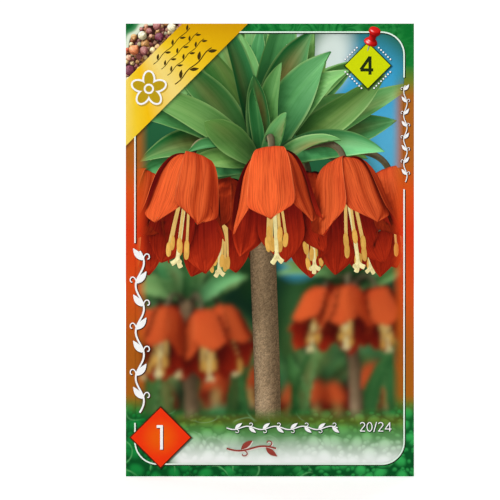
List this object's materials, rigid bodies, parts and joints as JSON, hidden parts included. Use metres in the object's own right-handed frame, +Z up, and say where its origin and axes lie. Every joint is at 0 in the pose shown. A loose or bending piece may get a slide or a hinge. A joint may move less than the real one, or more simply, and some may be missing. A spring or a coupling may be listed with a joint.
{
  "type": "flower bulb pack",
  "caption": "Retail pack of a crown imperial bulb: a flat printed picture card that stands upright, with a clear film pouch on its back holding the bulb.",
  "frame": {"origin": "on the surface that the pack stands on, under the middle of the card's width and half-way through the pack's depth", "axes": "+Z up along the card's height; +X to the right as the printed face is read; the printed face looks along -Y and the bulb is behind it, towards +Y"},
  "size_m": [0.14, 0.0616, 0.22],
  "materials": {
    "card": "glossy printed card, orange, red and green, with a white back",
    "film": "thin clear film, wrinkled, heat sealed at its edge",
    "bulb": "dry cream and tan bulb scales with brown stains"
  },
  "bodies": {
    "root": {"picture_card": "card", "film_pouch": "film", "bulb": "bulb"}
  },
  "joints": []
}
